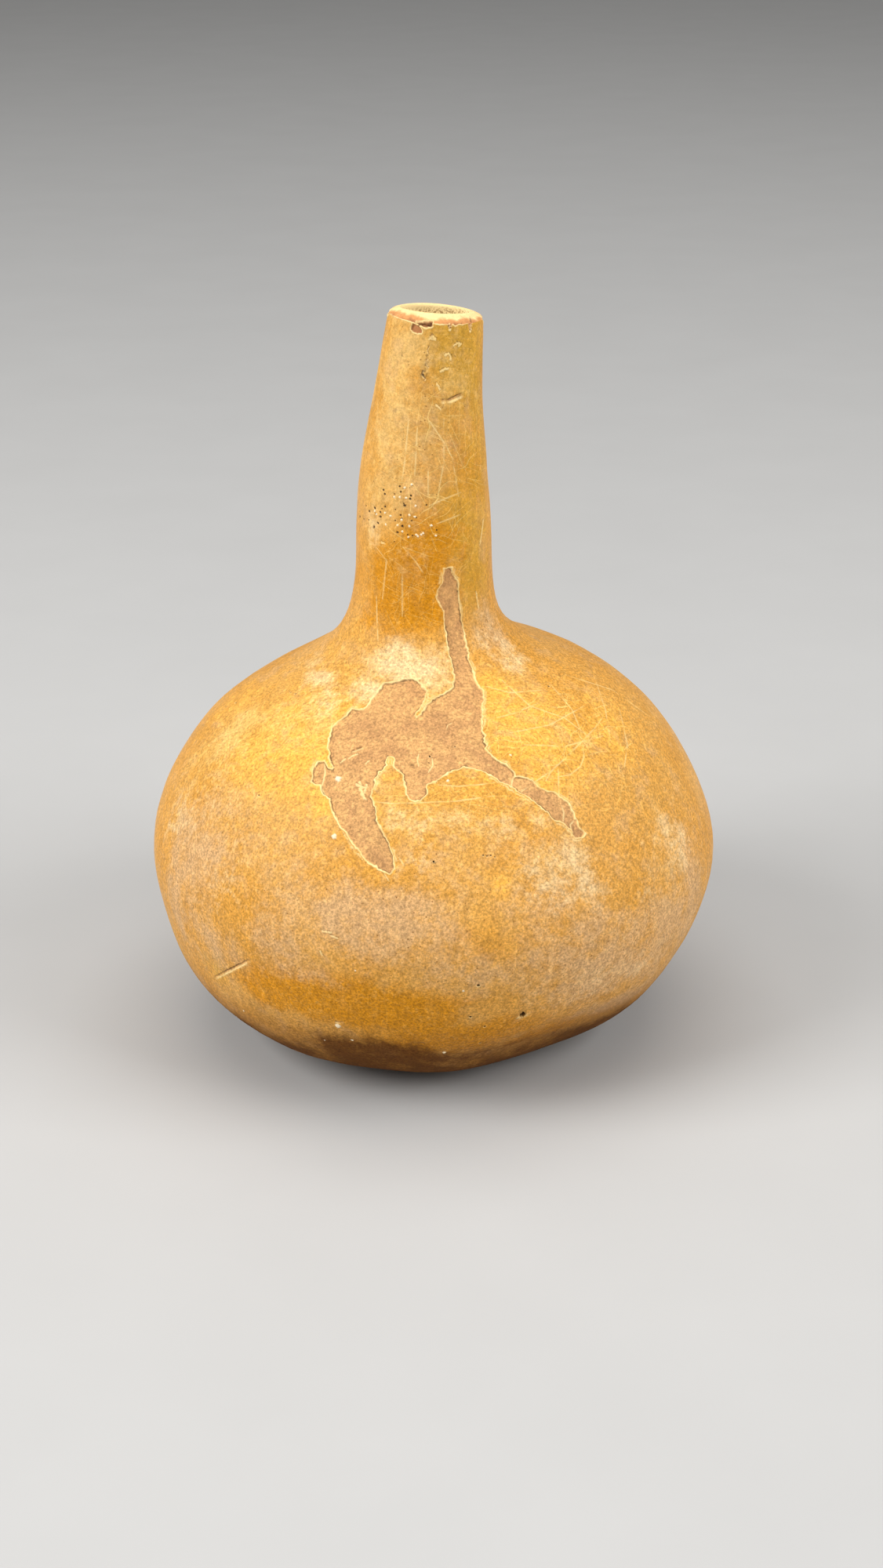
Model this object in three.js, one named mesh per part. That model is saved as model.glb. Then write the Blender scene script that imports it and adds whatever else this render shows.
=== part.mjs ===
// A dried bottle gourd made into a container: one hollow shell of rind, with a squat body and a
// tapering neck that was cut across to open it.
// Millimetres, +Z up. The origin is the middle of the flat spot that the gourd stands on.
// The weathered side faces -Y, and +X is on that side's right.
import * as THREE from "three";
import { mergeVertices } from "three/addons/utils/BufferGeometryUtils.js";

// The outside of the rind, from the flat spot up to the mouth:
// height, radius of the section, and how far its middle leans towards +X
const STATIONS = [
  { height: 0, radius: 20, lean: 0 },
  { height: 2, radius: 39, lean: -0.3 },
  { height: 6, radius: 54, lean: -0.5 },
  { height: 12, radius: 62.5, lean: -0.5 },
  { height: 24, radius: 72, lean: -0.5 },
  { height: 40, radius: 78, lean: 0.5 },
  { height: 56, radius: 80, lean: 0.7 },
  { height: 72, radius: 75, lean: 0.3 },
  { height: 88, radius: 65, lean: 0.8 },
  { height: 98, radius: 53.5, lean: 2 },
  { height: 104, radius: 44, lean: 2.5 },
  { height: 109, radius: 34.5, lean: 1 },
  { height: 114, radius: 26.5, lean: -0.8 },
  { height: 121, radius: 21, lean: -2 },
  { height: 132, radius: 18.8, lean: -2 },
  { height: 148, radius: 18.2, lean: -2 },
  { height: 165, radius: 16.8, lean: -1.8 },
  { height: 182, radius: 14.4, lean: -0.7 },
  { height: 204, radius: 12.5, lean: 1.5 },
];

// Thickness of the rind: woody in the body, thinner where the neck was cut
const BODY_WALL = 5;
const MOUTH_WALL = 3.3;
const NECK_FROM = 110;

// The cut across the neck falls towards +X
const MOUTH_FALL = 1.7; // from one side of the mouth to the other
const FALL_FROM = 175; // height at which the sections start to tilt

// Nearly flat sides, where the gourd lay on the ground while it grew. Each faces out and down:
// azimuth from -Y towards +X, angle below level, and distance from the middle of the body
const BODY_MIDDLE = new THREE.Vector3(0, 0, 50);
const GROUND_FLATS = [
  { azimuth: -9, below: 47, distance: 69.7 },
  { azimuth: 31, below: 43, distance: 67.4 },
];
const FLAT_EASE = 4; // depth over which a flat runs out into the round

const OVAL = 0.006; // share by which the round is drawn out along one diagonal
const WELD = 1e-3; // distance within which points of the surface are one

// Weathered golden rind with a satin skin
const RIND_COLOUR = 0xc98f3f;
const RIND_ROUGHNESS = 0.5;

// How finely the surfaces are divided
const SEGMENTS = 56;
const OUTSIDE_ROWS = 44;
const INSIDE_ROWS = 18;

const HEIGHT = STATIONS.at(-1).height;
const { clamp, degToRad, lerp, smoothstep } = THREE.MathUtils;

// Points up the outside and down the inside, as radius, height, lean and depth below the skin.
function rindProfile() {
  const points = STATIONS.map((s) => new THREE.Vector3(s.radius, s.lean, s.height));
  const side = new THREE.CatmullRomCurve3(points, false, "catmullrom");

  const outside = side.getSpacedPoints(OUTSIDE_ROWS).map((p) => {
    return { radius: p.x, height: p.z, lean: p.y, depth: 0 };
  });

  const inside = side.getSpacedPoints(INSIDE_ROWS).map((p, row) => {
    const along = side.getTangentAt(row / INSIDE_ROWS);
    const length = Math.hypot(along.x, along.z);
    const depth = lerp(BODY_WALL, MOUTH_WALL, smoothstep(p.z, NECK_FROM, HEIGHT));
    return {
      radius: p.x - (depth * along.z) / length,
      height: p.z + (depth * along.x) / length,
      lean: p.y,
      depth,
    };
  });
  inside.at(-1).height = HEIGHT; // the cut is square across the wall

  const under = { radius: 0, height: 0, lean: 0, depth: 0 };
  const floor = { radius: 0, height: BODY_WALL, lean: 0, depth: BODY_WALL };
  return [under, ...outside, ...inside.reverse(), floor];
}

// How far a point that lies this far beyond a flat is moved back: not at all well inside it, the
// whole way well outside it, and smoothly in between.
function moveBack(beyond) {
  const eased = clamp(beyond, -FLAT_EASE, FLAT_EASE) + FLAT_EASE;
  return eased ** 2 / (4 * FLAT_EASE) + Math.max(beyond - FLAT_EASE, 0);
}

// Presses a point in behind the ground flats, which run as deep below the skin as the point does.
function pressFlat(point, depth) {
  for (const { azimuth, below, distance } of GROUND_FLATS) {
    const turn = degToRad(azimuth);
    const drop = degToRad(below);
    const outward = new THREE.Vector3(Math.sin(turn), -Math.cos(turn), 0)
      .multiplyScalar(Math.cos(drop))
      .setZ(-Math.sin(drop));
    const beyond = point.clone().sub(BODY_MIDDLE).dot(outward) - (distance - depth);
    point.addScaledVector(outward, -moveBack(beyond));
  }
}

// The shell as a turned form, then drawn out of round, leaned, flattened and tilted at the mouth.
function shellGeometry() {
  const profile = rindProfile();
  const outline = profile.map((p) => new THREE.Vector2(p.radius, p.height));
  const turned = new THREE.LatheGeometry(outline, SEGMENTS);
  turned.rotateX(Math.PI / 2);

  const fall = MOUTH_FALL / (2 * STATIONS.at(-1).radius);
  const places = turned.getAttribute("position");
  const point = new THREE.Vector3();
  for (let i = 0; i < places.count; i++) {
    const { height, lean, depth } = profile[i % profile.length];
    point.fromBufferAttribute(places, i);
    const across = point.x;
    const round = 1 + OVAL * Math.sin(2 * Math.atan2(point.y, point.x));
    point.x = point.x * round + lean;
    point.y *= round;
    point.z -= fall * across * smoothstep(height, FALL_FROM, HEIGHT);
    pressFlat(point, depth);
    places.setXYZ(i, point.x, point.y, point.z);
  }

  turned.deleteAttribute("uv");
  turned.deleteAttribute("normal");
  const shell = mergeVertices(turned, WELD);
  shell.computeVertexNormals();
  return shell;
}

const rind = new THREE.MeshStandardMaterial({
  color: RIND_COLOUR,
  roughness: RIND_ROUGHNESS,
  metalness: 0,
});

const gourd = new THREE.Group();
const shell = new THREE.Mesh(shellGeometry(), rind);
shell.name = "gourd_shell";
gourd.add(shell);

export default gourd;
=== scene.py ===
# Looks of the gourd container: its rind as one dense mesh grown from the CAD shell, with the peeled
# scar, cuts, pits, crust and worn mouth as real relief, on a plain pale floor.
import math

import bmesh
import bpy
import numpy as np
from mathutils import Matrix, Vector, noise
from mathutils.bvhtree import BVHTree
from mathutils.kdtree import KDTree


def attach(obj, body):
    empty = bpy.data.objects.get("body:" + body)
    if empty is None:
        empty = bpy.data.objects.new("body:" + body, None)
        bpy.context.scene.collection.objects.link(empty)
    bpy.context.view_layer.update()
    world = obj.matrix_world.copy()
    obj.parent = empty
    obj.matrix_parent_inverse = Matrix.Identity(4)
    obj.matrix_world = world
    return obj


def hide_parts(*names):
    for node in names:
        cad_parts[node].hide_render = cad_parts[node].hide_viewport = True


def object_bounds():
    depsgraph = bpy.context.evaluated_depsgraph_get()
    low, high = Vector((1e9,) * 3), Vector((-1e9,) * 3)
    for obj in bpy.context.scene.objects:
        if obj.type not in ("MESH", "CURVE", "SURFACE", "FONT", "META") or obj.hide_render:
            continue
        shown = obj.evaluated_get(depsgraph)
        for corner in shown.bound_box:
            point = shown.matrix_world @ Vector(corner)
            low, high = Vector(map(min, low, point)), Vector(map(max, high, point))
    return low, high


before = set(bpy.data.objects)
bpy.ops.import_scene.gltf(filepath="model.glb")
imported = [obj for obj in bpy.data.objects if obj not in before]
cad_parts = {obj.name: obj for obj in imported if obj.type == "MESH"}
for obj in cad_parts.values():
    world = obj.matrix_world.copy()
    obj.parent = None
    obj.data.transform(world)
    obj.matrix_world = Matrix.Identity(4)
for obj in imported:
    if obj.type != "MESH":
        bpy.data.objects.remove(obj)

cad_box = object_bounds()

NODE = "gourd_shell"
MM = 0.001  # metres; sizes and places below are in millimetres unless they say otherwise

# The camera, as the photograph shows the gourd
PHOTO_WIDTH = 1126
PHOTO_HEIGHT = 2000
FOCAL_PX = 3000
SENSOR_WIDTH = 36
PITCH = math.radians(23.865)
AIM = np.array([2.9, 0, 69.5])
DISTANCE = 668.6
RIGHT = np.array([1.0, 0, 0])
FORWARD = np.array([0, math.cos(PITCH), -math.sin(PITCH)])
UP = np.array([0, math.sin(PITCH), math.cos(PITCH)])
EYE = AIM - DISTANCE * FORWARD

# Skin that peeled away, as an outline in photo pixels: from the strip's top on the neck, down its
# right side, out along the right arm, and back round the two left lobes
SCAR = [
    (567, 726), (576, 725), (578, 733), (584, 744), (585, 759), (586, 774), (587, 791), (590, 802),
    (592, 812), (595, 827), (597, 840), (602, 855), (608, 874), (615, 882), (616, 891), (614, 914),
    (615, 934), (620, 957), (631, 968), (648, 978), (655, 985), (655, 993), (664, 991), (678, 996),
    (689, 1007), (706, 1011), (722, 1022), (731, 1035), (733, 1044), (738, 1054), (747, 1062),
    (743, 1068), (735, 1068), (729, 1058), (719, 1048), (709, 1047), (696, 1033), (684, 1024),
    (668, 1013), (653, 1004), (635, 994), (625, 988), (613, 982), (592, 978), (576, 983), (564, 989),
    (553, 996), (544, 1002), (544, 1013), (536, 1021), (524, 1019), (518, 1012), (516, 998), (513, 985),
    (504, 979), (502, 966), (494, 965), (492, 975), (481, 985), (477, 998), (472, 1016), (477, 1029),
    (481, 1049), (488, 1064), (497, 1081), (502, 1095), (502, 1108), (496, 1113), (482, 1108),
    (467, 1096), (454, 1081), (444, 1064), (428, 1044), (422, 1029), (421, 1017), (412, 1013),
    (408, 1001), (397, 996), (399, 983), (405, 971), (413, 971), (418, 980), (425, 982), (421, 968),
    (419, 950), (423, 928), (439, 915), (449, 904), (464, 906), (469, 900), (482, 881), (491, 871),
    (508, 870), (523, 865), (538, 873), (544, 881), (539, 897), (530, 908), (530, 916), (537, 911),
    (543, 901), (556, 890), (569, 883), (579, 877), (580, 860), (573, 829), (571, 819), (568, 799),
    (567, 779), (559, 766), (557, 761), (561, 752), (565, 741),
]
# Pale seams across the scar, where a second peel met the first, as photo pixels
SCAR_SEAMS = [
    [(413, 973), (414, 984), (412, 994), (409, 1004), (414, 1014), (422, 1019)],
    [(655, 990), (653, 998), (652, 1005)],
    [(717, 1027), (720, 1036), (719, 1047)],
    [(733, 1046), (728, 1052), (730, 1058)],
    [(534, 961), (532, 969), (534, 977)],
    [(551, 966), (552, 976), (546, 985)],
]
# Skin chipped off under the lip of the mouth, as outlines in photo pixels
CHIPS = [
    [(531, 410), (541, 411), (551, 412), (552, 417), (541, 419), (533, 415)],
    [(527, 413), (533, 415), (538, 418), (537, 425), (530, 425), (525, 420)],
]
SCAR_DEPTH = 0.3
CHIP_DEPTH = 0.5
PEEL_LIP = 0.16
PEEL_REACH = 4
# Across a peeled edge, measured in from it: where the step, the bare rind and a chip's colour set in
PEEL_STEP = (-0.1, 0.22)
PEEL_BARE = (-0.02, 0.14)
CHIP_BARE = (0, 0.12)
# The same for lines along the edge, as place and width: the lifted lip, its pale line, partly painted
# highlight, its dark line, painted shadow of the step with crevice dirt, and a second pale line where the
# skin frays
LIP_LINE = (-0.2, 0.2)
PALE_LINE = (-0.14, 0.2)
DARK_LINE = (0.18, 0.12)
FRAY_LINE = (-0.75, 0.16)
SEAM_WIDTH = 0.17
SEAM_STRENGTH = 0.75
SEAM_HEIGHT = 0.06

# The skin's ragged edge along the front of the mouth, in photo pixels from left to right, with the
# two notches that run down from it
SKIN_EDGE = [
    (497, 397), (504, 402), (511, 405), (523, 409), (531, 413), (540, 415), (549, 416), (553, 411),
    (561, 413), (565, 412), (571, 412), (573, 420), (575, 420), (577, 412), (581, 415), (586, 412),
    (590, 413), (597, 410), (599, 422), (601, 422), (603, 408), (607, 406), (616, 401),
]
SKIN_EDGE_STEEP = (2, -2)  # the part of that edge that faces the camera squarely
PIXEL_AT_MOUTH = 0.213  # size of a photo pixel there
BEVEL = 1.2  # height of bare rind between the cut and the skin's edge at the back
LIP_RISE = 2.2  # how far the cut slopes up to its inner edge at the front
LIP_RISE_BEHIND = 0.1  # the share of that at the back
LIP_RUN = 6  # height over which the inside follows it
CUT_EDGES = (2, 98)  # percentiles that stand for the cut's inner and outer edge
BROWN_BEHIND = 0.25  # how brown the cut's outer edge is at the back, as a share of the front
BARE_DEPTH = 0.25
SKIN_LIP = 0.1

# Pits as photo pixel and radius; the widest is a wood borer's exit hole
PITS = [
    (666, 1294, 0.85), (610, 1257, 0.36), (600, 1297, 0.3), (618, 1309, 0.3), (612, 1330, 0.26),
    (301, 896, 0.36), (371, 883, 0.3), (377, 885, 0.25), (553, 1099, 0.24), (700, 875, 0.26),
    (580, 952, 0.2), (548, 964, 0.26), (547, 972, 0.2), (330, 1014, 0.24), (616, 1091, 0.18),
    (621, 1092, 0.16), (626, 1091, 0.2), (631, 1093, 0.16),
]
# The same on the back, as azimuth from -Y towards +X in degrees, height and radius
BACK_PITS = [
    (152, 38, 0.4), (-160, 78, 0.3), (118, 88, 0.3), (-128, 60, 0.26), (176, 150, 0.26), (-172, 34, 0.35),
    (104, 44, 0.3), (-100, 92, 0.28),
]
PIT_DEPTH = 2.2  # in radii
# Soft dark stains as photo pixel, half width, half height and strength
STAINS = [
    (540, 478, 1.0, 1.3, 0.85), (543, 467, 0.5, 1.2, 0.7), (545, 456, 0.45, 1.3, 0.6),
    (547, 443, 0.4, 1.4, 0.45), (512, 453, 0.7, 0.7, 0.5), (551, 428, 0.5, 0.6, 0.75),
    (503, 523, 0.7, 0.9, 0.4), (553, 1100, 0.6, 0.5, 0.6), (525, 975, 0.8, 0.7, 0.75),
    (591, 446, 0.4, 0.6, 0.5), (599, 448, 0.3, 1.0, 0.5), (593, 471, 0.3, 0.5, 0.4),
    (586, 508, 0.7, 0.6, 0.35), (578, 780, 0.7, 0.9, 0.3),
]
STAIN_DEPTH = 0.1
# Pale crumbs as photo pixel, radius and height
CRUMBS = [
    (566, 1342, 0.6, 0.3), (426, 1067, 0.75, 0.35), (431, 992, 0.9, 0.35), (571, 996, 0.45, 0.2),
    (431, 1309, 0.9, 0.25), (414, 1327, 0.25, 0.12), (449, 1327, 0.4, 0.15), (311, 1289, 0.4, 0.15),
    (591, 1264, 0.35, 0.12), (453, 1238, 0.25, 0.12), (651, 963, 0.3, 0.12), (530, 408, 0.6, 0.4),
]
# Lifted flakes of skin as photo pixels and width
FLAKES = [
    ([(548, 433), (552, 430), (555, 433)], 0.4), ([(580, 440), (584, 438), (588, 439), (585, 442)], 0.35),
    ([(568, 453), (572, 451), (574, 454), (575, 459)], 0.3), ([(562, 474), (567, 471), (572, 470)], 0.35),
    ([(557, 489), (561, 497)], 0.25), ([(556, 517), (562, 522)], 0.3), ([(454, 1000), (464, 1004)], 0.4),
    ([(458, 996), (461, 1012), (465, 1018)], 0.45), ([(467, 1000), (463, 1013)], 0.4),
    ([(616, 664), (614, 680), (612, 694)], 0.3), ([(607, 755), (610, 776)], 0.25),
    ([(411, 1188), (422, 1190)], 0.3), ([(422, 1194), (430, 1197)], 0.3), ([(408, 1213), (411, 1219)], 0.25),
    ([(487, 692), (490, 693)], 0.4), ([(573, 413), (574, 421)], 0.35), ([(434, 972), (440, 967)], 0.3),
    ([(444, 967), (449, 963), (455, 961)], 0.28), ([(466, 973), (470, 969)], 0.25),
]
FLAKE_HEIGHT = 0.16
# A patch of crust on the neck: pale warts and dark pricks, as photo pixels
CRUST_PALE = [
    (516, 622), (503, 634), (510, 634), (518, 635), (522, 657), (512, 663), (507, 670), (550, 670),
    (531, 682), (533, 684), (537, 682), (540, 680), (521, 685), (513, 678), (498, 658), (492, 669),
    (529, 659), (530, 645), (556, 683), (525, 618), (478, 652), (491, 654), (480, 656), (522, 671),
]
CRUST_DARK = [
    (510, 620), (511, 627), (503, 630), (523, 636), (524, 632), (515, 642), (516, 645), (504, 650),
    (511, 657), (512, 662), (504, 664), (513, 671), (520, 682), (526, 683), (482, 667), (531, 660),
    (491, 630), (489, 625), (467, 645), (478, 648), (487, 649), (491, 646), (485, 653), (458, 652),
    (459, 659), (464, 662), (470, 663), (477, 672), (544, 644), (522, 671), (471, 652), (479, 655),
    (485, 659), (525, 664), (557, 676), (507, 679), (503, 691),
]
CRUST_RADIUS = 0.35
WART_HEIGHT = 0.2
PRICK_DEPTH = 0.15

# Cuts in the skin, as photo pixels, width and depth: dark above as painted shadow, and pale below as painted
# highlight
CUTS = [
    ([(271, 1248), (297, 1235), (321, 1223)], 0.5, 0.3),
    ([(561, 511), (572, 511), (581, 507), (592, 502)], 0.6, 0.5),
    ([(552, 425), (549, 429), (550, 433)], 0.2, 0.15),
    ([(548, 440), (545, 446), (547, 453)], 0.16, 0.1),
    ([(546, 456), (543, 461), (546, 468), (543, 474)], 0.18, 0.12),
    ([(540, 470), (538, 477), (542, 483), (540, 487)], 0.22, 0.15),
    ([(447, 957), (455, 954), (463, 951)], 0.4, 0.3),
    ([(426, 1303), (434, 1305), (438, 1304)], 0.35, 0.35),
    ([(600, 408), (600, 424)], 0.3, 0.25),
    ([(568, 931), (570, 924), (577, 920)], 0.18, 0.1),
    ([(540, 407), (550, 411)], 0.2, 0.2),
]
# Long pale scratches, as photo pixels
SCRATCHES = [
    [(477, 1022), (500, 1025), (533, 1024), (581, 1022), (631, 1015)],
    [(558, 1001), (584, 1003), (610, 1001), (631, 998)],
    [(711, 991), (727, 988), (740, 978), (745, 965), (743, 954)],
    [(696, 996), (702, 985), (742, 946), (760, 927), (769, 914)],
    [(633, 916), (656, 910), (686, 897)],
    [(712, 982), (713, 1018)],
    [(509, 1094), (518, 1108)],
    [(490, 1114), (496, 1124)],
    [(538, 523), (553, 545), (566, 564), (578, 586)],
    [(566, 532), (566, 589), (557, 639)],
    [(521, 535), (516, 589), (513, 612)],
    [(532, 545), (529, 607)],
    [(547, 645), (570, 635), (588, 628)],
    [(557, 668), (573, 662), (588, 656)],
    [(577, 586), (585, 633)],
    [(546, 601), (546, 636)],
    [(480, 698), (493, 715), (488, 764)],
    [(514, 698), (530, 716), (543, 736)],
    [(513, 729), (513, 786)],
    [(480, 761), (482, 817)],
    [(620, 876), (650, 884), (690, 880)],
    [(640, 868), (675, 900), (720, 915), (752, 940)],
    [(650, 935), (700, 925), (745, 900)],
    [(668, 950), (720, 952), (770, 938)],
    [(700, 870), (730, 905), (742, 935)],
    [(760, 870), (772, 905), (778, 940)],
    [(664, 1010), (700, 985), (728, 962)],
    [(790, 905), (800, 950), (795, 990)],
    [(720, 860), (780, 880), (830, 915)],
]
# The same on the back, as azimuth and height
BACK_SCRATCHES = [
    [(140, 104), (158, 90), (171, 84)],
    [(150, 80), (160, 96), (166, 108)],
    [(-165, 100), (-150, 92), (-138, 90)],
    [(-142, 66), (-128, 72), (-116, 70)],
    [(168, 190), (172, 168), (170, 150)],
    [(-170, 175), (-160, 152)],
    [(112, 60), (122, 74), (128, 78)],
]
SCRATCH_WIDTH = 0.16
SCRATCH_STRENGTH = 0.55
SCRATCH_DEPTH = 0.03

# Broad patches of colour, some holding painted light and shade, as photo pixel, half width, half height and
# strength
ZONES = {
    # yellower skin, and painted highlight on the shoulders
    "yellow_and_highlight": [
        (400, 935, 24, 17, 1.0), (330, 965, 20, 15, 0.7), (415, 1005, 13, 10, 0.7),
        (310, 900, 20, 14, 0.5), (690, 935, 20, 17, 0.8), (770, 930, 16, 16, 0.5),
        (690, 1000, 14, 12, 0.5), (640, 1130, 3.5, 3.5, 0.9), (620, 1010, 13, 8, 0.5),
        (640, 890, 8, 12, 0.8),
    ],
    "chalk": [
        (525, 848, 12, 8, 1.0), (470, 880, 9, 6, 0.8), (652, 838, 7, 7, 0.6), (410, 868, 9, 5, 0.6),
        (860, 1070, 10, 11, 0.55), (715, 1105, 13, 12, 0.65), (512, 1045, 6, 6, 0.55),
        (418, 890, 8, 6, 0.6), (255, 1050, 10, 10, 0.35), (760, 1140, 9, 9, 0.3), (478, 672, 5, 7, 0.4),
        (790, 1240, 22, 9, 0.35), (618, 815, 6, 10, 0.55), (395, 845, 10, 6, 0.4),
        (820, 1105, 10, 12, 0.3), (640, 1045, 14, 6, 0.48), (580, 1045, 12, 6, 0.48),
        (285, 1140, 10, 9, 0.48), (222, 1045, 7, 9, 0.52), (690, 1045, 8, 5, 0.48),
        (522, 1085, 8, 10, 0.42),
    ],
    # paler straw colour, and painted highlight on the neck's lit left side and the left shoulder
    "straw_and_highlight": [
        (510, 470, 8, 34, 0.9), (495, 590, 8, 26, 0.7), (290, 940, 14, 18, 0.7), (350, 920, 14, 10, 0.5),
        (470, 700, 6, 12, 0.4), (400, 920, 16, 12, 0.6), (578, 490, 7, 8, 0.7),
    ],
    # dust, and painted sheen in narrow strips along the body's left and right edges
    "dust_and_sheen": [
        (250, 1090, 20, 24, 0.9), (310, 1060, 16, 12, 0.5), (470, 1175, 32, 14, 0.9),
        (560, 1215, 18, 8, 0.6), (390, 1140, 24, 14, 0.6), (780, 1235, 28, 15, 1.0),
        (850, 1190, 18, 22, 0.9), (700, 1160, 20, 14, 0.6), (560, 1110, 26, 12, 0.45),
        (235, 1180, 14, 16, 0.5), (275, 1205, 14, 9, 0.8), (350, 1200, 16, 7, 0.7),
        (785, 1278, 22, 6, 1.0), (605, 1245, 16, 10, 0.6), (222, 1130, 9, 26, 0.9),
        (885, 1150, 9, 26, 1.0), (535, 570, 16, 40, 0.45), (622, 805, 9, 13, 0.8),
        (760, 1190, 12, 9, 0.9), (710, 1228, 14, 10, 0.8), (370, 1235, 16, 6, 0.7),
    ],
    "amber": [
        (420, 1276, 32, 9, 1.2), (345, 1264, 15, 7, 1.0), (505, 1292, 22, 8, 1.2),
        (620, 1195, 13, 9, 0.5), (590, 1325, 28, 8, 1.1), (700, 1312, 24, 7, 0.8),
        (520, 745, 15, 16, 1.2), (545, 695, 10, 9, 1.1), (590, 615, 10, 16, 0.5), (480, 800, 8, 8, 0.4),
        (606, 750, 8, 12, 0.45), (580, 670, 9, 14, 0.5),
    ],
    "ochre": [
        (592, 450, 11, 18, 1.0), (560, 540, 12, 18, 0.5), (605, 520, 8, 20, 0.6), (280, 1235, 14, 8, 0.4),
        (230, 1210, 10, 10, 0.4), (850, 1130, 12, 10, 0.4), (604, 735, 9, 16, 0.9),
        (588, 670, 10, 18, 0.9), (604, 600, 8, 18, 0.7),
    ],
    # grime, and painted shade along the foot of the body
    "grime_and_shade": [
        (700, 1320, 30, 8, 0.5), (590, 1350, 24, 6, 0.65), (645, 1335, 24, 7, 0.55),
        (345, 1302, 14, 7, 0.5), (400, 1315, 14, 7, 0.45),
    ],
    "scuff": [
        (730, 930, 30, 24, 1.0), (550, 600, 16, 34, 0.9), (520, 740, 18, 16, 0.6),
        (600, 1015, 20, 8, 0.7), (380, 960, 26, 20, 0.4),
    ],
}
# The same on the back, as azimuth from -Y towards +X in degrees, height, half width, half height
# and strength
BACK_ZONES = {
    # yellower skin, and painted highlight on the shoulders
    "yellow_and_highlight": [(150, 92, 24, 16, 0.8), (-140, 96, 22, 14, 0.7), (185, 88, 14, 12, 0.5)],
    "chalk": [(170, 112, 10, 8, 0.8), (-155, 74, 9, 8, 0.6), (128, 66, 8, 8, 0.5)],
    # paler straw colour, and painted highlight on the neck's left side
    "straw_and_highlight": [(-95, 180, 8, 30, 0.6), (-110, 80, 18, 16, 0.6)],
    "dust_and_sheen": [
        (160, 52, 30, 18, 0.9), (-150, 48, 26, 16, 0.8), (110, 50, 18, 18, 0.7), (-105, 55, 16, 18, 0.6),
    ],
    "amber": [(180, 24, 34, 9, 0.9), (130, 22, 24, 8, 0.7), (-125, 24, 26, 8, 0.8), (175, 138, 11, 16, 0.8)],
    "ochre": [(170, 185, 11, 18, 0.8), (-120, 170, 9, 18, 0.4)],
    # grime, and painted shade along the foot of the body
    "grime_and_shade": [(180, 10, 40, 7, 0.6), (120, 8, 30, 6, 0.5), (-120, 8, 30, 6, 0.5)],
    "scuff": [(150, 95, 28, 22, 0.8), (-150, 160, 14, 30, 0.8), (-110, 60, 20, 20, 0.5)],
}
# The flat that the gourd lay on as it grew, stained dark, with painted shade on it where it faces down: x,
# height of its upper edge, and strength, from left to right
GROUND_STAIN_AND_SHADE = [
    (-40, 24, 0), (-33, 27, 0.5), (-27, 28, 0.85), (-14, 28.8, 0.95), (-5, 27.5, 0.9), (-1, 26, 0.85),
    (4, 24.5, 0.75), (10, 23, 0.6), (22, 21, 0.4), (36, 18, 0),
]
STAIN_AND_SHADE_EDGE = (-6, 6)  # height over which the stain and its painted shade set in
UNDER_SHADE_FROM = 30  # painted shade darkens the rind below this height, on every side
UNDER_SHADE_TO = 12
UNDER_SHADE_STRENGTH = 0.85
FOOT_SHADE_FROM = 40  # painted shade: the skin is painted browner and darker from this height down
FOOT_SHADE_TO = 14
BODY_MIDDLE = np.array([0, 0, 50])
NECK_FROM = 110  # height where the neck begins
NECK_RUN = 30  # height over which the grain grows calmer up the neck
NECK_UNROLLED = 0.75  # how much longer the unrolled skin is for each step up the neck
BODY_RADIUS = 78
SCUFF_JOIN = (0.1, 0.3)  # radians from the join of the unrolled skin over which scuffs set in

# Noise in the shape, as height, size and seed: slow swells of the skin, lumps of the pith, the floor of
# a peeled place, and how ragged edges wander
SKIN_SWELLS = ((0.3, 30, 1), (0.1, 8, 2))
PITH_LUMPS = ((0.5, 5, 3), (0.3, 2, 4))
PEEL_FLOOR = ((0.06, 1.4, 7),)
PEEL_WANDER = ((0.5, 2.2, 5), (0.32, 0.9, 6))
SKIN_EDGE_WANDER = ((0.5, 3.5, 15), (0.35, 1.1, 16))
SEED_SHIFT = (17.3, -9.1, 5.7)  # how far apart the noise of two seeds is
SWELL_ABOVE = (0.5, 6)  # heights over which the swells set in, so that the foot stays flat
LUMPS_BELOW = (1, 6)  # the same for the pith, down from the mouth
STIPPLE_BELOW = (0.8, 3)  # and for its brown stipple

# How small the faces are, and near marks also how far from the mark that holds
OUTSIDE_FACE = 2.6
INSIDE_FACE = 4.5
RIM_FACE = 0.5
RIM_REACH = 5
SCAR_FACES = (0.22, 0.7)
SKIN_EDGE_FACES = (0.18, 0.6)
CUT_FACES = (0.18, 1.0)
STAIN_FACES = (0.3, 1.2)
SCRATCH_FACES = (0.24, 0.3)
PIT_FACES = (0.13, 0.6)
REFINE_PASSES = 9
FACE_SLACK = 1.5  # a face is halved where it is longer than wanted by more than this
LONG_EDGE = 0.7  # the edges that are halved, as a share of the face's longest
FACE_GROWTH = 0.85  # how fast the wanted size grows away from a mark
START_LEVELS = 1
SMOOTH_LEVELS = 3
WELD = 1e-6  # metres
RIM_ANGLE = math.radians(50)
RIM_CREASE = 0.75
PAIR_ANGLE = math.radians(40)  # two triangles make a quad if they bend and skew by less than these
PAIR_SKEW = math.radians(60)
TINY = 1e-9  # keeps divisions off zero

# How far a normal turns away from the hollow on the outside, towards it on the inside, and up on the
# cut of the mouth
OUTSIDE_TURN = (-0.1, 0.2)
INSIDE_TURN = (0.1, 0.4)
CUT_TURN = (0.5, 0.8)
CUT_WITHIN = 4  # the cut is no further below the top than this
COARSE_TURN = -0.3  # the inside, with its large faces, begins here
SKIN_SHARE = 0.5  # marks are on vertices that are outside by this share, and peels reach the lip too
LIP_SHARE = 0.15


def smoothstep(value, low, high):
    share = np.clip((value - low) / (high - low), 0, 1)
    return share * share * (3 - 2 * share)


def bell(value, middle, width):
    return np.exp(-(((value - middle) / width) ** 2))


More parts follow.
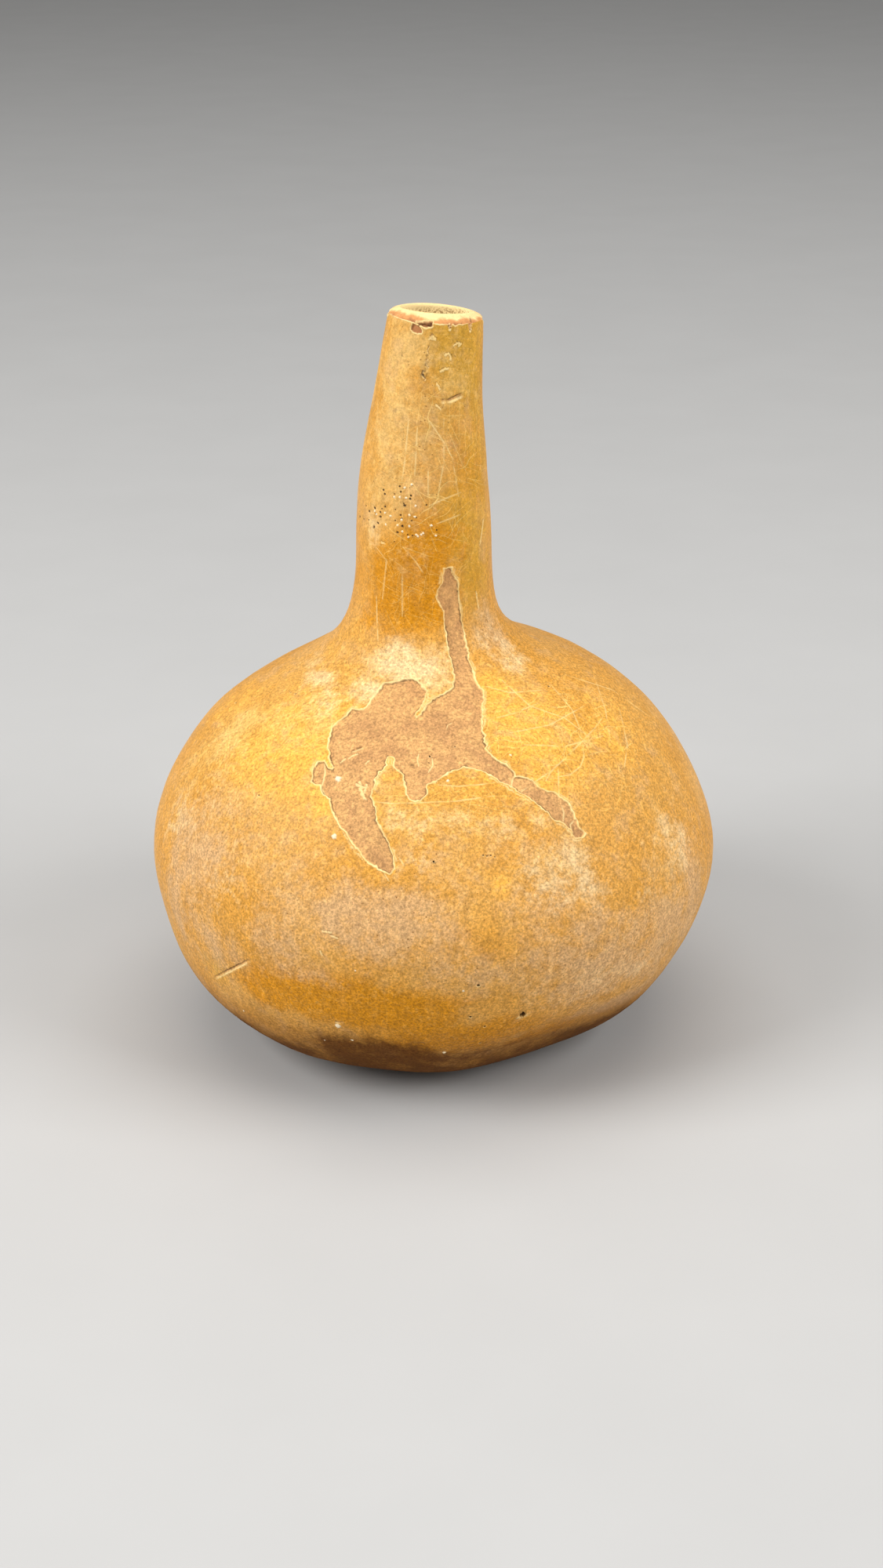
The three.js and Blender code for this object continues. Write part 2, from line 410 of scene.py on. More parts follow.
def perlin(points, size, seed):
    """Smooth noise from -1 to 1 that varies over about this size."""
    shift = Vector([step * seed for step in SEED_SHIFT])
    return np.array([noise.noise(Vector(p) / size + shift) for p in points])


def ripples(points, waves):
    """Noise of several sizes added up, each given as height, size and seed."""
    return sum(height * perlin(points, size, seed) for height, size, seed in waves)


def photo_pixels(points):
    """Where points fall in the photograph."""
    seen = points - EYE
    depth = seen @ FORWARD
    across = PHOTO_WIDTH / 2 + FOCAL_PX * (seen @ RIGHT) / depth
    down = PHOTO_HEIGHT / 2 - FOCAL_PX * (seen @ UP) / depth
    return np.stack([across, down], axis=1)


def inside_outline(pixels, outline):
    """Whether each pixel is inside a closed outline, by counting the edges to its right."""
    x, y = pixels.T
    inside = np.zeros(len(pixels), bool)
    for (x0, y0), (x1, y1) in zip(outline, outline[1:] + outline[:1]):
        crosses = (y0 > y) != (y1 > y)
        height = y1 - y0 if y1 != y0 else 1
        inside ^= crosses & (x < x0 + (y - y0) * (x1 - x0) / height)
    return inside


def beside_path(points, path):
    """Each point's offset from the nearest place on a path, and that place's share of the way."""
    best = np.zeros(points.shape)
    least = np.full(len(points), np.inf)
    way = np.zeros(len(points))
    for i, (start, end) in enumerate(zip(path[:-1], path[1:])):
        along = end - start
        share = np.clip((points - start) @ along / max(along @ along, TINY), 0, 1)
        offset = points - start - share[:, None] * along
        length = np.einsum("ij,ij->i", offset, offset)
        nearer = length < least
        best[nearer] = offset[nearer]
        least[nearer] = length[nearer]
        way[nearer] = (i + share[nearer]) / (len(path) - 1)
    return best, way


class Shell:
    """The CAD shell, rounded off, as a surface that marks are placed on."""

    def __init__(self):
        mesh = subdivided(SMOOTH_LEVELS)
        bm = bmesh.new()
        bm.from_mesh(mesh)
        self.tree = BVHTree.FromBMesh(bm)
        bm.free()
        bpy.data.meshes.remove(mesh)

    def at_pixel(self, x, y):
        """The place on the rind that shows at a photo pixel."""
        across = (x - PHOTO_WIDTH / 2) / FOCAL_PX
        down = (y - PHOTO_HEIGHT / 2) / FOCAL_PX
        direction = FORWARD + across * RIGHT - down * UP
        hit = self.tree.ray_cast(Vector(EYE * MM), Vector(direction).normalized())[0]
        return np.array(hit) / MM

    def at_girth(self, azimuth, height):
        """The place on the rind at this azimuth, from -Y towards +X, and height."""
        turn = math.radians(azimuth)
        outward = Vector((math.sin(turn), -math.cos(turn), 0))
        start = Vector((0, 0, height * MM)) + outward
        hit = self.tree.ray_cast(start, -outward)[0]
        return np.array(hit) / MM

    def path(self, pixels, step=6):
        """A line along the rind through photo pixels, with a place every few pixels."""
        return np.array([self.at_pixel(*pixel) for pixel in spaced(pixels, step)])

    def girth_path(self, corners, step=0.8):
        """A line along the rind through azimuths and heights, with a place every degree or so."""
        return np.array([self.at_girth(*corner) for corner in spaced(corners, step)])


def spots(place_at, marks):
    """Marks with their first two numbers turned into a place on the rind."""
    return [(place_at(first, second), *sizes) for first, second, *sizes in marks]


def spaced(corners, step):
    """Points along a line through corners, about a step apart."""
    points = []
    for (x0, y0), (x1, y1) in zip(corners[:-1], corners[1:]):
        count = max(1, round(math.hypot(x1 - x0, y1 - y0) / step))
        shares = [i / count for i in range(count)]
        points += [(x0 + share * (x1 - x0), y0 + share * (y1 - y0)) for share in shares]
    return points + [corners[-1]]


def placed(name, data):
    """A new object in the scene."""
    thing = bpy.data.objects.new(name, data)
    bpy.context.scene.collection.objects.link(thing)
    return thing


def subdivided(levels):
    """The CAD shell with its triangles paired into quads, rounded by subdivision."""
    bm = bmesh.new()
    bm.from_mesh(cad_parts[NODE].data)
    bmesh.ops.remove_doubles(bm, verts=bm.verts, dist=WELD)
    bmesh.ops.join_triangles(
        bm,
        faces=bm.faces[:],
        angle_face_threshold=PAIR_ANGLE,
        angle_shape_threshold=PAIR_SKEW,
    )
    crease = bm.edges.layers.float.new("crease_edge")
    for edge in bm.edges:
        if edge.calc_face_angle(0) > RIM_ANGLE:
            edge[crease] = RIM_CREASE
    mesh = bpy.data.meshes.new("shell")
    bm.to_mesh(mesh)
    bm.free()

    carrier = placed("shell", mesh)
    carrier.modifiers.new("round", "SUBSURF").levels = levels
    depsgraph = bpy.context.evaluated_depsgraph_get()
    rounded = bpy.data.meshes.new_from_object(carrier.evaluated_get(depsgraph))
    bpy.data.objects.remove(carrier)
    bpy.data.meshes.remove(mesh)
    return rounded


def facing_out(points, normals):
    """How far each normal faces away from the middle of the hollow: 1 outside, -1 inside."""
    middle = np.zeros_like(points)
    middle[:, 2] = np.maximum(points[:, 2], BODY_MIDDLE[2])
    away = points - middle
    away /= np.maximum(np.linalg.norm(away, axis=1), TINY)[:, None]
    return np.einsum("ij,ij->i", away, normals)


class Marks:
    """All that is placed on the rind, as places in millimetres."""

    def __init__(self, shell):
        self.scar = shell.path(SCAR + SCAR[:1])
        self.seams = [shell.path(pixels) for pixels in SCAR_SEAMS]
        self.chips = [shell.path(chip + chip[:1]) for chip in CHIPS]
        self.skin_edge = shell.path(SKIN_EDGE[slice(*SKIN_EDGE_STEEP)], step=2)
        self.pits = spots(shell.at_pixel, PITS) + spots(shell.at_girth, BACK_PITS)
        self.stains = spots(shell.at_pixel, STAINS)
        self.crumbs = spots(shell.at_pixel, CRUMBS)
        self.flakes = [(shell.path(pixels), width) for pixels, width in FLAKES]
        self.pale_crust = [shell.at_pixel(*pixel) for pixel in CRUST_PALE]
        self.dark_crust = [shell.at_pixel(*pixel) for pixel in CRUST_DARK]
        self.cuts = [(shell.path(pixels), width, depth) for pixels, width, depth in CUTS]
        self.scratches = [shell.path(pixels, step=3) for pixels in SCRATCHES]
        self.scratches += [shell.girth_path(corners) for corners in BACK_SCRATCHES]
        self.zones = {}
        for name in ZONES:
            self.zones[name] = spots(shell.at_pixel, ZONES[name]) + spots(shell.at_girth, BACK_ZONES[name])

    def fine_spots(self):
        """Groups of places that need small faces: the places, the face size and its reach."""
        dots = [place for place, *_ in self.pits + self.crumbs] + self.pale_crust + self.dark_crust
        return [
            (np.vstack([self.scar, *self.chips, *self.seams]), *SCAR_FACES),
            (self.skin_edge, *SKIN_EDGE_FACES),
            (np.vstack([path for path, *_ in self.cuts + self.flakes]), *CUT_FACES),
            (np.array([place for place, *_ in self.stains]), *STAIN_FACES),
            (np.vstack(self.scratches), *SCRATCH_FACES),
            (np.array(dots), *PIT_FACES),
        ]


def wanted_sizes(points, outward, fine_spots, top):
    """How large a face may be at each point."""
    sizes = np.where(outward > COARSE_TURN, OUTSIDE_FACE, INSIDE_FACE)
    below_top = top - points[:, 2]
    rim = RIM_FACE + FACE_GROWTH * np.maximum(below_top - RIM_REACH, 0)
    sizes = np.minimum(sizes, rim)
    for places, size, reach in fine_spots:
        tree = KDTree(len(places))
        for i, place in enumerate(places):
            tree.insert(place, i)
        tree.balance()
        far = np.array([tree.find(p)[2] for p in points])
        near_size = size + FACE_GROWTH * np.maximum(far - reach, 0)
        sizes = np.where(outward > 0, np.minimum(sizes, near_size), sizes)
    return sizes


def refined_mesh(shell, marks):
    """The rounded shell with its faces halved, again and again, where marks need small ones."""
    mesh = subdivided(START_LEVELS)
    bm = bmesh.new()
    bm.from_mesh(mesh)
    top = max(v.co.z for v in bm.verts) / MM
    fine_spots = marks.fine_spots()
    for _ in range(REFINE_PASSES):
        bm.normal_update()
        middles = np.array([f.calc_center_median() for f in bm.faces]) / MM
        normals = np.array([f.normal for f in bm.faces])
        longest = np.array([max(e.calc_length() for e in f.edges) for f in bm.faces]) / MM
        wanted = wanted_sizes(middles, facing_out(middles, normals), fine_spots, top)
        edges = set()
        for face, length, size in zip(bm.faces, longest, wanted):
            if length > FACE_SLACK * size:
                edges |= {edge for edge in face.edges if edge.calc_length() > LONG_EDGE * length * MM}
        if not edges:
            break
        bmesh.ops.subdivide_edges(bm, edges=list(edges), cuts=1, use_grid_fill=True)
    for vertex in bm.verts:
        vertex.co = shell.tree.find_nearest(vertex.co)[0]
    bmesh.ops.recalc_face_normals(bm, faces=bm.faces)
    bm.to_mesh(mesh)
    bm.free()
    return mesh


class Rind:
    """Relief and paint at every vertex of the rind."""

    PAINTS = ("scar", "edge", "dark", "pale", "cut", "rimward", "chip")

    def __init__(self, mesh, marks):
        self.mesh = mesh
        self.marks = marks
        count = len(mesh.vertices)
        places = np.empty(count * 3, np.float32)
        mesh.vertices.foreach_get("co", places)
        self.points = places.reshape(-1, 3).astype(float) / MM
        normals = np.empty(count * 3, np.float32)
        mesh.vertex_normals.foreach_get("vector", normals)
        self.normals = normals.reshape(-1, 3).astype(float)
        self.height = np.zeros(count)
        self.lift = np.zeros(count)
        out = facing_out(self.points, self.normals)
        self.outside = smoothstep(out, *OUTSIDE_TURN)
        self.inner = smoothstep(-out, *INSIDE_TURN)
        self.below_top = self.points[:, 2].max() - self.points[:, 2]
        self.cut = smoothstep(self.normals[:, 2], *CUT_TURN) * (self.below_top < CUT_WITHIN)
        self.paint = {name: np.zeros(count) for name in self.PAINTS}

    def near(self, places, reach, least=SKIN_SHARE):
        """The vertices on the outside within reach of a place or path, and where they are."""
        low = np.min(places, axis=0) - reach
        high = np.max(places, axis=0) + reach
        boxed = np.all((self.points > low) & (self.points < high), axis=1)
        chosen = np.flatnonzero(boxed & (self.outside > least))
        return chosen, self.points[chosen]

    def add_paint(self, name, chosen, strength):
        """Lays paint on where it is stronger than what is there."""
        self.paint[name][chosen] = np.maximum(self.paint[name][chosen], strength)

    def undulate(self):
        """Slow swells of the grown skin, and a pithy inside."""
        swelling = self.outside * smoothstep(self.points[:, 2], *SWELL_ABOVE)
        pithy = self.inner * smoothstep(self.below_top, *LUMPS_BELOW)
        self.height += swelling * ripples(self.points, SKIN_SWELLS)
        self.height += pithy * ripples(self.points, PITH_LUMPS)

    def peel(self, path, outline, depth):
        """Sinks the skin inside an outline and lifts its edge; gives the vertices and how far in each is."""
        chosen, points = self.near(path, PEEL_REACH, least=LIP_SHARE)
        far = np.linalg.norm(beside_path(points, path)[0], axis=1)
        inside = inside_outline(photo_pixels(points), outline)
        within = np.where(inside, far, -far) + ripples(points, PEEL_WANDER)
        floor = ripples(points, PEEL_FLOOR) - depth
        self.height[chosen] += floor * smoothstep(within, *PEEL_STEP)
        self.height[chosen] += PEEL_LIP * bell(within, *LIP_LINE)
        self.add_paint("scar", chosen, smoothstep(within, *PEEL_BARE))
        # the pale line is the skin's broken edge, partly painted highlight; the dark line inside it is
        # painted shadow of the step, with crevice dirt
        broken = np.clip(0.9 + 0.5 * perlin(points, 4, 8), 0, 1)
        self.add_paint("edge", chosen, broken * bell(within, *PALE_LINE))
        shadowed = smoothstep(perlin(points, 5, 9), -0.2, 0.3)
        self.add_paint("dark", chosen, 0.8 * shadowed * bell(within, *DARK_LINE))
        frayed = smoothstep(perlin(points, 6, 21), 0.05, 0.25)
        self.add_paint("edge", chosen, 0.6 * frayed * bell(within, *FRAY_LINE))
        return chosen, within

    def peel_scars(self):
        self.peel(self.marks.scar, SCAR, SCAR_DEPTH)
        for path, outline in zip(self.marks.chips, CHIPS):
            chosen, within = self.peel(path, outline, CHIP_DEPTH)
            self.add_paint("chip", chosen, smoothstep(within, *CHIP_BARE))
        for path in self.marks.seams:
            self.line(path, SEAM_WIDTH, SEAM_STRENGTH, SEAM_HEIGHT)

    def line(self, path, width, strength, height):
        """A thin pale line, raised or sunk, that fades along its way."""
        chosen, points = self.near(path, 5 * width)
        offset, way = beside_path(points, path)
        thin = width * (0.55 + 0.45 * smoothstep(np.minimum(way, 1 - way), 0, 0.25))
        stroke = bell(np.linalg.norm(offset, axis=1), 0, thin)
        stroke *= smoothstep(perlin(points, 3, 20 + len(path)), -0.6, 0)
        self.height[chosen] += height * stroke
        self.add_paint("edge", chosen, strength * stroke)

    def scratch(self):
        for path in self.marks.scratches:
            self.line(path, SCRATCH_WIDTH, SCRATCH_STRENGTH, -SCRATCH_DEPTH)

    def sink_pits(self):
        """Holes painted dark inside as painted shade, with a pale rim below."""
        for place, radius in self.marks.pits:
            chosen, points = self.near([place], 2.5 * radius)
            offset = points - place
            far = np.linalg.norm(offset, axis=1) * (1 + 0.2 * perlin(points, radius, 10))
            self.height[chosen] -= PIT_DEPTH * radius * smoothstep(-far, -1.05 * radius, -0.6 * radius)
            # painted shade inside the hole
            self.add_paint("dark", chosen, smoothstep(-far, -1.1 * radius, -0.85 * radius))
            lower = smoothstep(-offset[:, 2], -0.7 * radius, 0.7 * radius)
            self.add_paint("edge", chosen, 0.8 * lower * bell(far, 1.35 * radius, 0.25 * radius))

    def stain(self):
        """Soft dark spots, a little sunk."""
        for place, half_width, half_height, strength in self.marks.stains:
            chosen, points = self.near([place], 2.5 * max(half_width, half_height))
            offset = points - place
            across = np.linalg.norm(offset[:, :2], axis=1) / half_width
            spot = np.exp(-across**2 - (offset[:, 2] / half_height) ** 2)
            spot *= smoothstep(perlin(points, 0.5, 11), -0.4, 0.4)
            self.add_paint("dark", chosen, strength * spot)
            self.height[chosen] -= STAIN_DEPTH * spot

    def raise_crumbs(self):
        """Pale crumbs, and the warts of the crust."""
        crust = [(place, CRUST_RADIUS, WART_HEIGHT) for place in self.marks.pale_crust]
        for place, radius, height in self.marks.crumbs + crust:
            chosen, points = self.near([place], 2 * radius)
            far = np.linalg.norm(points - place, axis=1) / radius
            far += 0.45 * perlin(points, 0.9 * radius, 12)
            self.height[chosen] += height * smoothstep(-far, -1.1, -0.3)
            self.add_paint("pale", chosen, 0.9 * smoothstep(-far, -1, -0.65))

    def lift_flakes(self):
        """Pale flakes with a dark line above, painted shadow of the lifted flake."""
        for path, width in self.marks.flakes:
            chosen, points = self.near(path, 3 * width)
            offset, _ = beside_path(points, path)
            far = np.linalg.norm(offset, axis=1) / width
            far += 0.8 * perlin(points, 1.2 * width, 13)
            flake = smoothstep(-far, -1, -0.6)
            self.height[chosen] += FLAKE_HEIGHT * flake
            self.add_paint("edge", chosen, 0.58 * flake)
            # painted shadow beside the lifted flake
            above = smoothstep(offset[:, 2], 0.2 * width, 0.8 * width)
            self.add_paint("dark", chosen, 0.6 * above * bell(far, 1.35, 0.3))

    def prick_crust(self):
        """Dark pricks of uneven size in the crust."""
        for i, place in enumerate(self.marks.dark_crust):
            radius = CRUST_RADIUS * (0.85 + 0.25 * math.sin(2.4 * i))
            chosen, points = self.near([place], 2 * CRUST_RADIUS)
            far = np.linalg.norm(points - place, axis=1) * (1 + 0.5 * perlin(points, 0.5, 23))
            self.height[chosen] -= PRICK_DEPTH * smoothstep(-far, -radius, -0.4 * radius)
            darkness = 0.92 + 0.08 * math.sin(3.7 * i)
            self.add_paint("dark", chosen, darkness * smoothstep(-far, -1.1 * radius, -0.6 * radius))

    def carve_cuts(self):
        """Grooves with a raised pale edge below, painted highlight, and a dark edge above, painted shadow.
        """
        for path, width, depth in self.marks.cuts:
            chosen, points = self.near(path, 4 * width)
            offset, way = beside_path(points, path)
            ends = smoothstep(np.minimum(way, 1 - way), 0, 0.2)
            ends *= smoothstep(perlin(points, 4 * width, 22), -0.7, 0)
            above = np.linalg.norm(offset, axis=1) * np.sign(offset[:, 2]) / width
            above += 0.25 * perlin(points, 1.5 * width, 14)
            self.height[chosen] -= depth * ends * bell(above, 0, 0.7)
            self.height[chosen] += 0.25 * depth * ends * bell(above, -1.4, 0.6)
            self.add_paint("scar", chosen, 0.9 * ends * bell(above, -0.1, 0.6))
            # painted shadow along the upper edge, and painted highlight on the raised lower edge
            self.add_paint("dark", chosen, 0.85 * ends * bell(above, 0.55, 0.3))
            self.add_paint("edge", chosen, 0.7 * ends * bell(above, -1.0, 0.5))

    def wear_mouth(self):
        """Slopes the cut outwards, mostly at the front, and frays the skin's edge below it."""
        flat = self.points[self.cut > 0.9]
        low = flat[:, :2].min(axis=0)
        high = flat[:, :2].max(axis=0)
        middle = (low + high) / 2
        half = (high - low) / 2
        tilt = np.linalg.lstsq(np.c_[flat[:, :2], np.ones(len(flat))], flat[:, 2], rcond=None)[0]
        spread = np.linalg.norm((flat[:, :2] - middle) / half, axis=1)
        inner_edge, outer_edge = np.percentile(spread, CUT_EDGES)

        rim = np.flatnonzero(self.below_top < RIM_REACH + LIP_RUN)
        points = self.points[rim]
        below = np.c_[points[:, :2], np.ones(len(points))] @ tilt - points[:, 2]
        spread = np.linalg.norm((points[:, :2] - middle) / half, axis=1)
        across = np.clip((spread - inner_edge) / (outer_edge - inner_edge), 0, 1)
        front = smoothstep((middle[1] - points[:, 1]) / half[1], -1, 1)
        rise = LIP_RISE * (LIP_RISE_BEHIND + (1 - LIP_RISE_BEHIND) * front)
        self.lift[rim] = rise * (1 - across) * (1 - smoothstep(below, 0, LIP_RUN))
        self.paint["rimward"][rim] = across * (BROWN_BEHIND + (1 - BROWN_BEHIND) * front)

        pixels = photo_pixels(points)
        edge_x, edge_y = np.array(SKIN_EDGE).T
        seen_depth = (pixels[:, 1] - np.interp(pixels[:, 0], edge_x, edge_y)) * PIXEL_AT_MOUTH
        hidden_depth = below - BEVEL - ripples(points, SKIN_EDGE_WANDER)
        seen = smoothstep(-self.normals[rim, 1], 0.05, 0.3)
        into = seen * seen_depth + (1 - seen) * hidden_depth + 0.1 * perlin(points, 0.6, 17)
        skin = self.outside[rim]
        bare = skin * smoothstep(-into, -0.08, 0.08)
        self.height[rim] -= BARE_DEPTH * bare
        self.height[rim] += SKIN_LIP * skin * bell(into, 0.25, 0.2)
        self.add_paint("cut", rim, np.maximum(bare, self.cut[rim]))
        self.add_paint("edge", rim, 0.95 * skin * bell(into, 0.24, 0.2))
        # a dark line just inside the skin's edge, painted shadow of its step
        shadowed = smoothstep(perlin(points, 3, 18), -0.4, 0.2)
        self.add_paint("dark", rim, 0.55 * skin * shadowed * bell(into, -0.14, 0.14))

    def colour_zones(self):
        """Broad patches of colour, some holding painted highlight, sheen and shade, the ground stain with
        painted shade, and painted shade near the floor and towards the foot.
        """
        for name, spots in self.marks.zones.items():
            mask = np.zeros(len(self.points))
            for place, half_width, half_height, strength in spots:
                offset = self.points - place
                sideways = np.array([-place[1], place[0], 0])
                sideways = sideways / np.linalg.norm(sideways)
                across = offset @ sideways
                rest = np.linalg.norm(offset - across[:, None] * sideways, axis=1)
                spot = np.exp(-((across / half_width) ** 2) - (rest / half_height) ** 2)
                mask = np.maximum(mask, strength * spot)
            self.paint[name] = mask
        x, y, z = self.points.T
        # the ground stain, darkened further with painted shade where it faces down
        edge_x, edge_z, strength = np.array(GROUND_STAIN_AND_SHADE).T
        below_edge = np.interp(x, edge_x, edge_z) - z
        flat = np.interp(x, edge_x, strength) * smoothstep(below_edge, *STAIN_AND_SHADE_EDGE) * (y < 0)
        # painted shade near the floor, on every side
        under = UNDER_SHADE_STRENGTH * smoothstep(-z, -UNDER_SHADE_FROM, -UNDER_SHADE_TO)
        self.paint["grime_and_shade"] = np.maximum.reduce([self.paint["grime_and_shade"], flat, under])
        # painted shade: browner and darker towards the foot
        self.paint["foot_shade"] = smoothstep(-z, -FOOT_SHADE_FROM, -FOOT_SHADE_TO)
        self.paint["neck"] = smoothstep(z, NECK_FROM, NECK_FROM + NECK_RUN)

    def unroll(self):
        """The skin laid out flat, across and along, with the join at the back kept free of scuffs."""
        x, y, z = self.points.T
        radius = np.hypot(x, y)
        azimuth = np.arctan2(x, -y)
        self.paint["skin_across"] = azimuth * radius
        slope = np.arctan2(z - BODY_MIDDLE[2], radius)
        self.paint["skin_along"] = BODY_RADIUS * slope + NECK_UNROLLED * np.maximum(z - NECK_FROM, 0)
        self.paint["scuff"] *= smoothstep(math.pi - np.abs(azimuth), *SCUFF_JOIN)

    def apply(self):
        """Moves the vertices and stores the paint."""
        moved = self.points + self.height[:, None] * self.normals
        moved[:, 2] += self.lift
        self.mesh.vertices.foreach_set("co", (moved * MM).astype(np.float32).ravel())
        self.paint["inner"] = self.inner * (1 - self.paint["cut"])
        self.paint["deep"] = smoothstep(self.below_top, *STIPPLE_BELOW)
        for name, values in self.paint.items():
            stored = self.mesh.attributes.new(name, "FLOAT", "POINT")
            stored.data.foreach_set("value", values.astype(np.float32))
        self.mesh.update()


# Colours of the rind, linear
GOLD = (0.64, 0.33, 0.075)
DEEP_GOLD = (0.60, 0.28, 0.042)
# yellower skin, also painted highlight on the shoulders
YELLOW_AND_HIGHLIGHT = (0.80, 0.39, 0.062)
AMBER = (0.58, 0.232, 0.004)
OCHRE = (0.56, 0.30, 0.032)
# dust, also painted sheen along the body's edges
DUST_AND_SHEEN = (0.58, 0.35, 0.165)
# paler straw colour, also painted highlight on lit sides
STRAW_AND_HIGHLIGHT = (0.74, 0.46, 0.15)
CHALK = (0.78, 0.57, 0.30)
# painted shade at the foot
FOOT_SHADE = (0.22, 0.08, 0.014)
# grime, and painted shade near the floor
GRIME_AND_SHADE = (0.115, 0.038, 0.006)
FLECK = (0.20, 0.075, 0.013)
PALE_FLECK = (0.84, 0.54, 0.18)
SCRATCH = (0.86, 0.60, 0.20)
SCAR_BROWN = (0.47, 0.245, 0.095)
SCAR_TAN = (0.60, 0.325, 0.12)
# pale edges and lines of broken skin, scratches and seams, partly painted highlight on lifted lips and cuts
EDGE = (0.95, 0.74, 0.34)
# dark stains and pricks, and painted shade in holes, cuts and beside lifted edges
DARK = (0.030, 0.015, 0.008)
PALE = (0.88, 0.76, 0.52)
CUT_CREAM = (0.92, 0.66, 0.30)
CUT_ORANGE = (0.62, 0.28, 0.10)
CUT_BROWN = (0.30, 0.125, 0.055)
PITH = (0.92, 0.72, 0.36)
PITH_BROWN = (0.30, 0.16, 0.05)

# Patches laid over the gold, in this order: name, softness of the edge, most cover and colour
SKIN_LAYERS = (
    # some layers hold painted highlight on the shoulders and neck, and painted sheen along the body's edges
    ("yellow_and_highlight", 0.6, 1.0, YELLOW_AND_HIGHLIGHT), ("ochre", 0.6, 0.9, OCHRE), ("amber", 0.6, 0.95, AMBER),
    ("dust_and_sheen", 0.8, 0.85, DUST_AND_SHEEN), ("straw_and_highlight", 0.8, 0.8, STRAW_AND_HIGHLIGHT), ("chalk", 0.8, 0.85, CHALK),
)
GRIME_AND_SHADE_LAYER = ("grime_and_shade", 0.8, 0.92)
LAYER_FROM = 0.15  # a patch shows where its strength is over this
# how much the painted shade at the foot covers
FOOT_SHADE_COVER = 0.55
MOTTLED_COVER = 0.38
CLOUD_RANGE = (0.25, 0.75)  # where most values of a cloud are

# Hairline scratches, as turn in radians and length
HAIR_LINES = ((0.15, 26), (-0.5, 18), (0.9, 20), (-1.2, 24), (1.75, 16))
HAIR_WIDTH = 0.34
HAIR_WAVER = 2.5

# Gloss and fine relief, with heights and depths as multiples of the bump's
SPECULAR = 0.12
SKIN_ROUGHNESS = (0.4, 0.52)
BUMP_STRENGTH = 0.6
BUMP_HEIGHT = 0.15
GRAIN_HEIGHT = 0.6
PEBBLE_SIZE = 1.1
PEBBLE_HEIGHT = 3.5
HAIR_DEPTH = 0.5
PORE_DEPTH = 0.6

# Roughness where the rind isn't plain skin
ROUGH_PLACES = (
    ("dust_and_sheen", 0.64), ("chalk", 0.68), ("scar", 0.68), ("cut", 0.8), ("inner", 0.9), ("grime_and_shade", 0.95),
)


class Graph:
    """A material's nodes, with a short call for each kind that the rind uses."""

    def __init__(self, name):
        self.material = bpy.data.materials.new(name)
        self.material.use_nodes = True
        self.tree = self.material.node_tree
        self.shader = self.tree.nodes["Principled BSDF"]
        self.places = self.add("ShaderNodeTexCoord").outputs["Object"]

    def add(self, kind, values=None, **settings):
        node = self.tree.nodes.new(kind)
        for name, value in settings.items():
            setattr(node, name, value)
        for socket, value in (values or {}).items():
            self.set(node.inputs[socket], value)
        return node

    def set(self, socket, value):
        if isinstance(value, bpy.types.NodeSocket):
            self.tree.links.new(value, socket)
        elif socket.type == "RGBA":
            socket.default_value = (*value, 1)
        else:
            socket.default_value = value

    def attribute(self, name):
        return self.add("ShaderNodeAttribute", attribute_name=name).outputs["Fac"]

    def cloud(self, size, detail=3.0, roughness=0.55, distortion=0.0, drawn_out=1.0):
        """Noise of about this size, which can be drawn out upwards."""
        stretched = self.add("ShaderNodeMapping", {"Vector": self.places, "Scale": (1, 1, 1 / drawn_out)})
        values = {
            "Vector": stretched.outputs[0],
            "Scale": 1 / (size * MM),
            "Detail": detail,
            "Roughness": roughness,
            "Distortion": distortion,
        }
        return self.add("ShaderNodeTexNoise", values).outputs["Fac"]

    def dots(self, spacing, radius, share):
        """Round dots, one in a share of the cells."""
        values = {"Vector": self.places, "Scale": 1 / (spacing * MM), "Randomness": 1.0}
        cells = self.add("ShaderNodeTexVoronoi", values)
        near = self.ramp(cells.outputs["Distance"], radius / spacing, 0.5 * radius / spacing)
        draw = self.add("ShaderNodeSeparateColor", {"Color": cells.outputs["Color"]}).outputs[0]
        return self.math("MULTIPLY", near, self.math("LESS_THAN", draw, share))

    def streaks(self, skin, turn, width, length):
        """Noise on the unrolled skin, drawn out along one direction."""
        turned = self.add("ShaderNodeMapping", {"Vector": skin, "Rotation": (0, 0, turn)})
        stretch = (1 / width, 1 / length, 1)
        drawn = self.add("ShaderNodeMapping", {"Vector": turned.outputs[0], "Scale": stretch})
        values = {"Vector": drawn.outputs[0], "Scale": 1.0, "Detail": 1.0}
        return self.add("ShaderNodeTexNoise", values, noise_dimensions="2D").outputs["Fac"]

    def math(self, operation, a, b=0.0):
        return self.add("ShaderNodeMath", {0: a, 1: b}, operation=operation).outputs[0]

    def ramp(self, value, low, high, start=0.0, end=1.0):
        values = {"Value": value, "From Min": low, "From Max": high, "To Min": start, "To Max": end}
        return self.add("ShaderNodeMapRange", values, interpolation_type="SMOOTHSTEP").outputs[0]

    def spread(self, cloud, start, end):
        """A cloud's values, stretched to run between two numbers."""
        return self.ramp(cloud, *CLOUD_RANGE, start, end)

    def mix(self, share, a, b, blend="MIX"):
        node = self.add("ShaderNodeMix", {0: share, 6: a, 7: b}, data_type="RGBA", blend_type=blend)
        return node.outputs[2]

    def shade(self, colour, value):
        """A colour made darker or lighter by a number."""
        return self.mix(1.0, colour, value, "MULTIPLY")

    def blend(self, share, a, b):
        """Between two numbers."""
        return self.add("ShaderNodeMix", {0: share, 2: a, 3: b}, data_type="FLOAT").outputs[0]


